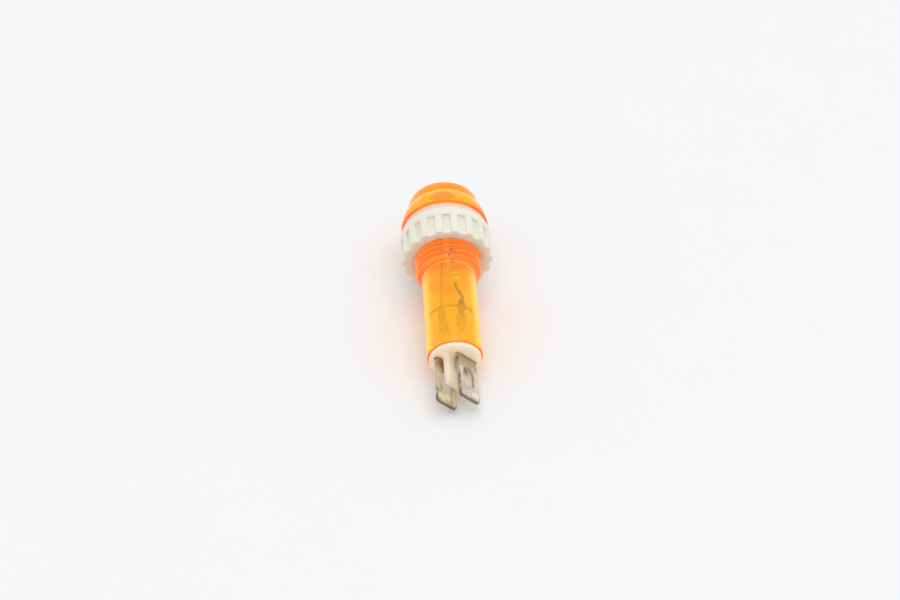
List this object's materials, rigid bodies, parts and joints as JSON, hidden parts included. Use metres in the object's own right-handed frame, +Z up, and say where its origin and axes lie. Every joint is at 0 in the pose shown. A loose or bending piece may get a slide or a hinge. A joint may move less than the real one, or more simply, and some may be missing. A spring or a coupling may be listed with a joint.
{
  "type": "panel pilot light",
  "caption": "Neon pilot light with an orange domed lens and tube, a threaded neck with ribbed ring nut and sealing washer, and two flat tabs with wire holes.",
  "frame": {"origin": "middle of the lamp's bounding box, on the surface that it lies on", "axes": "+Z up, +Y towards the lens along the lamp as it lies, +X to the right seen from the terminals; the lamp's own axis rises towards the lens by 8.70 degrees"},
  "size_m": [0.0132, 0.0378, 0.0139],
  "materials": {
    "orange_plastic": "clear orange, polished",
    "cream_plastic": "moulded, satin",
    "seal_plastic": "soft, translucent white",
    "ivory_plastic": "moulded, slightly translucent",
    "tarnished_brass": "plated, tarnished and stained",
    "clear_glass": "clear",
    "electrode_metal": "dull",
    "wire_metal": "tinned, dull",
    "resistor_coating": "lacquered",
    "solder_metal": "dull, with dark flux"
  },
  "bodies": {
    "root": {"lens_housing": "orange_plastic", "base_plug": "ivory_plastic", "terminal_left": "tarnished_brass", "terminal_right": "tarnished_brass", "bulb_glass": "clear_glass", "electrode_left": "electrode_metal", "electrode_right": "electrode_metal", "bulb_lead_left": "wire_metal", "bulb_lead_right": "wire_metal", "resistor_body": "resistor_coating", "resistor_cap_upper": "electrode_metal", "resistor_cap_lower": "electrode_metal", "resistor_lead_upper": "wire_metal", "resistor_lead_lower": "wire_metal", "solder_left": "solder_metal", "solder_right": "solder_metal", "solder_splice": "solder_metal"},
    "washer": {"sealing_washer": "seal_plastic"},
    "nut": {"ring_nut": "cream_plastic"}
  },
  "joints": [
    {"name": "washer_travel", "type": "slide", "parent": "root", "child": "washer", "axis": [0, -0.9885, -0.1512], "range_m": [0, 0.008]},
    {"name": "nut_turn", "type": "hinge", "parent": "washer", "child": "nut", "pos_m": [0, 0.00886, 0.00692], "axis": [0, -0.9885, -0.1512], "range_deg": [0, 2880]}
  ],
  "couplings": [
    {"joint": "nut_turn", "follows": "washer_travel", "rad_per_m": 6283.2}
  ]
}
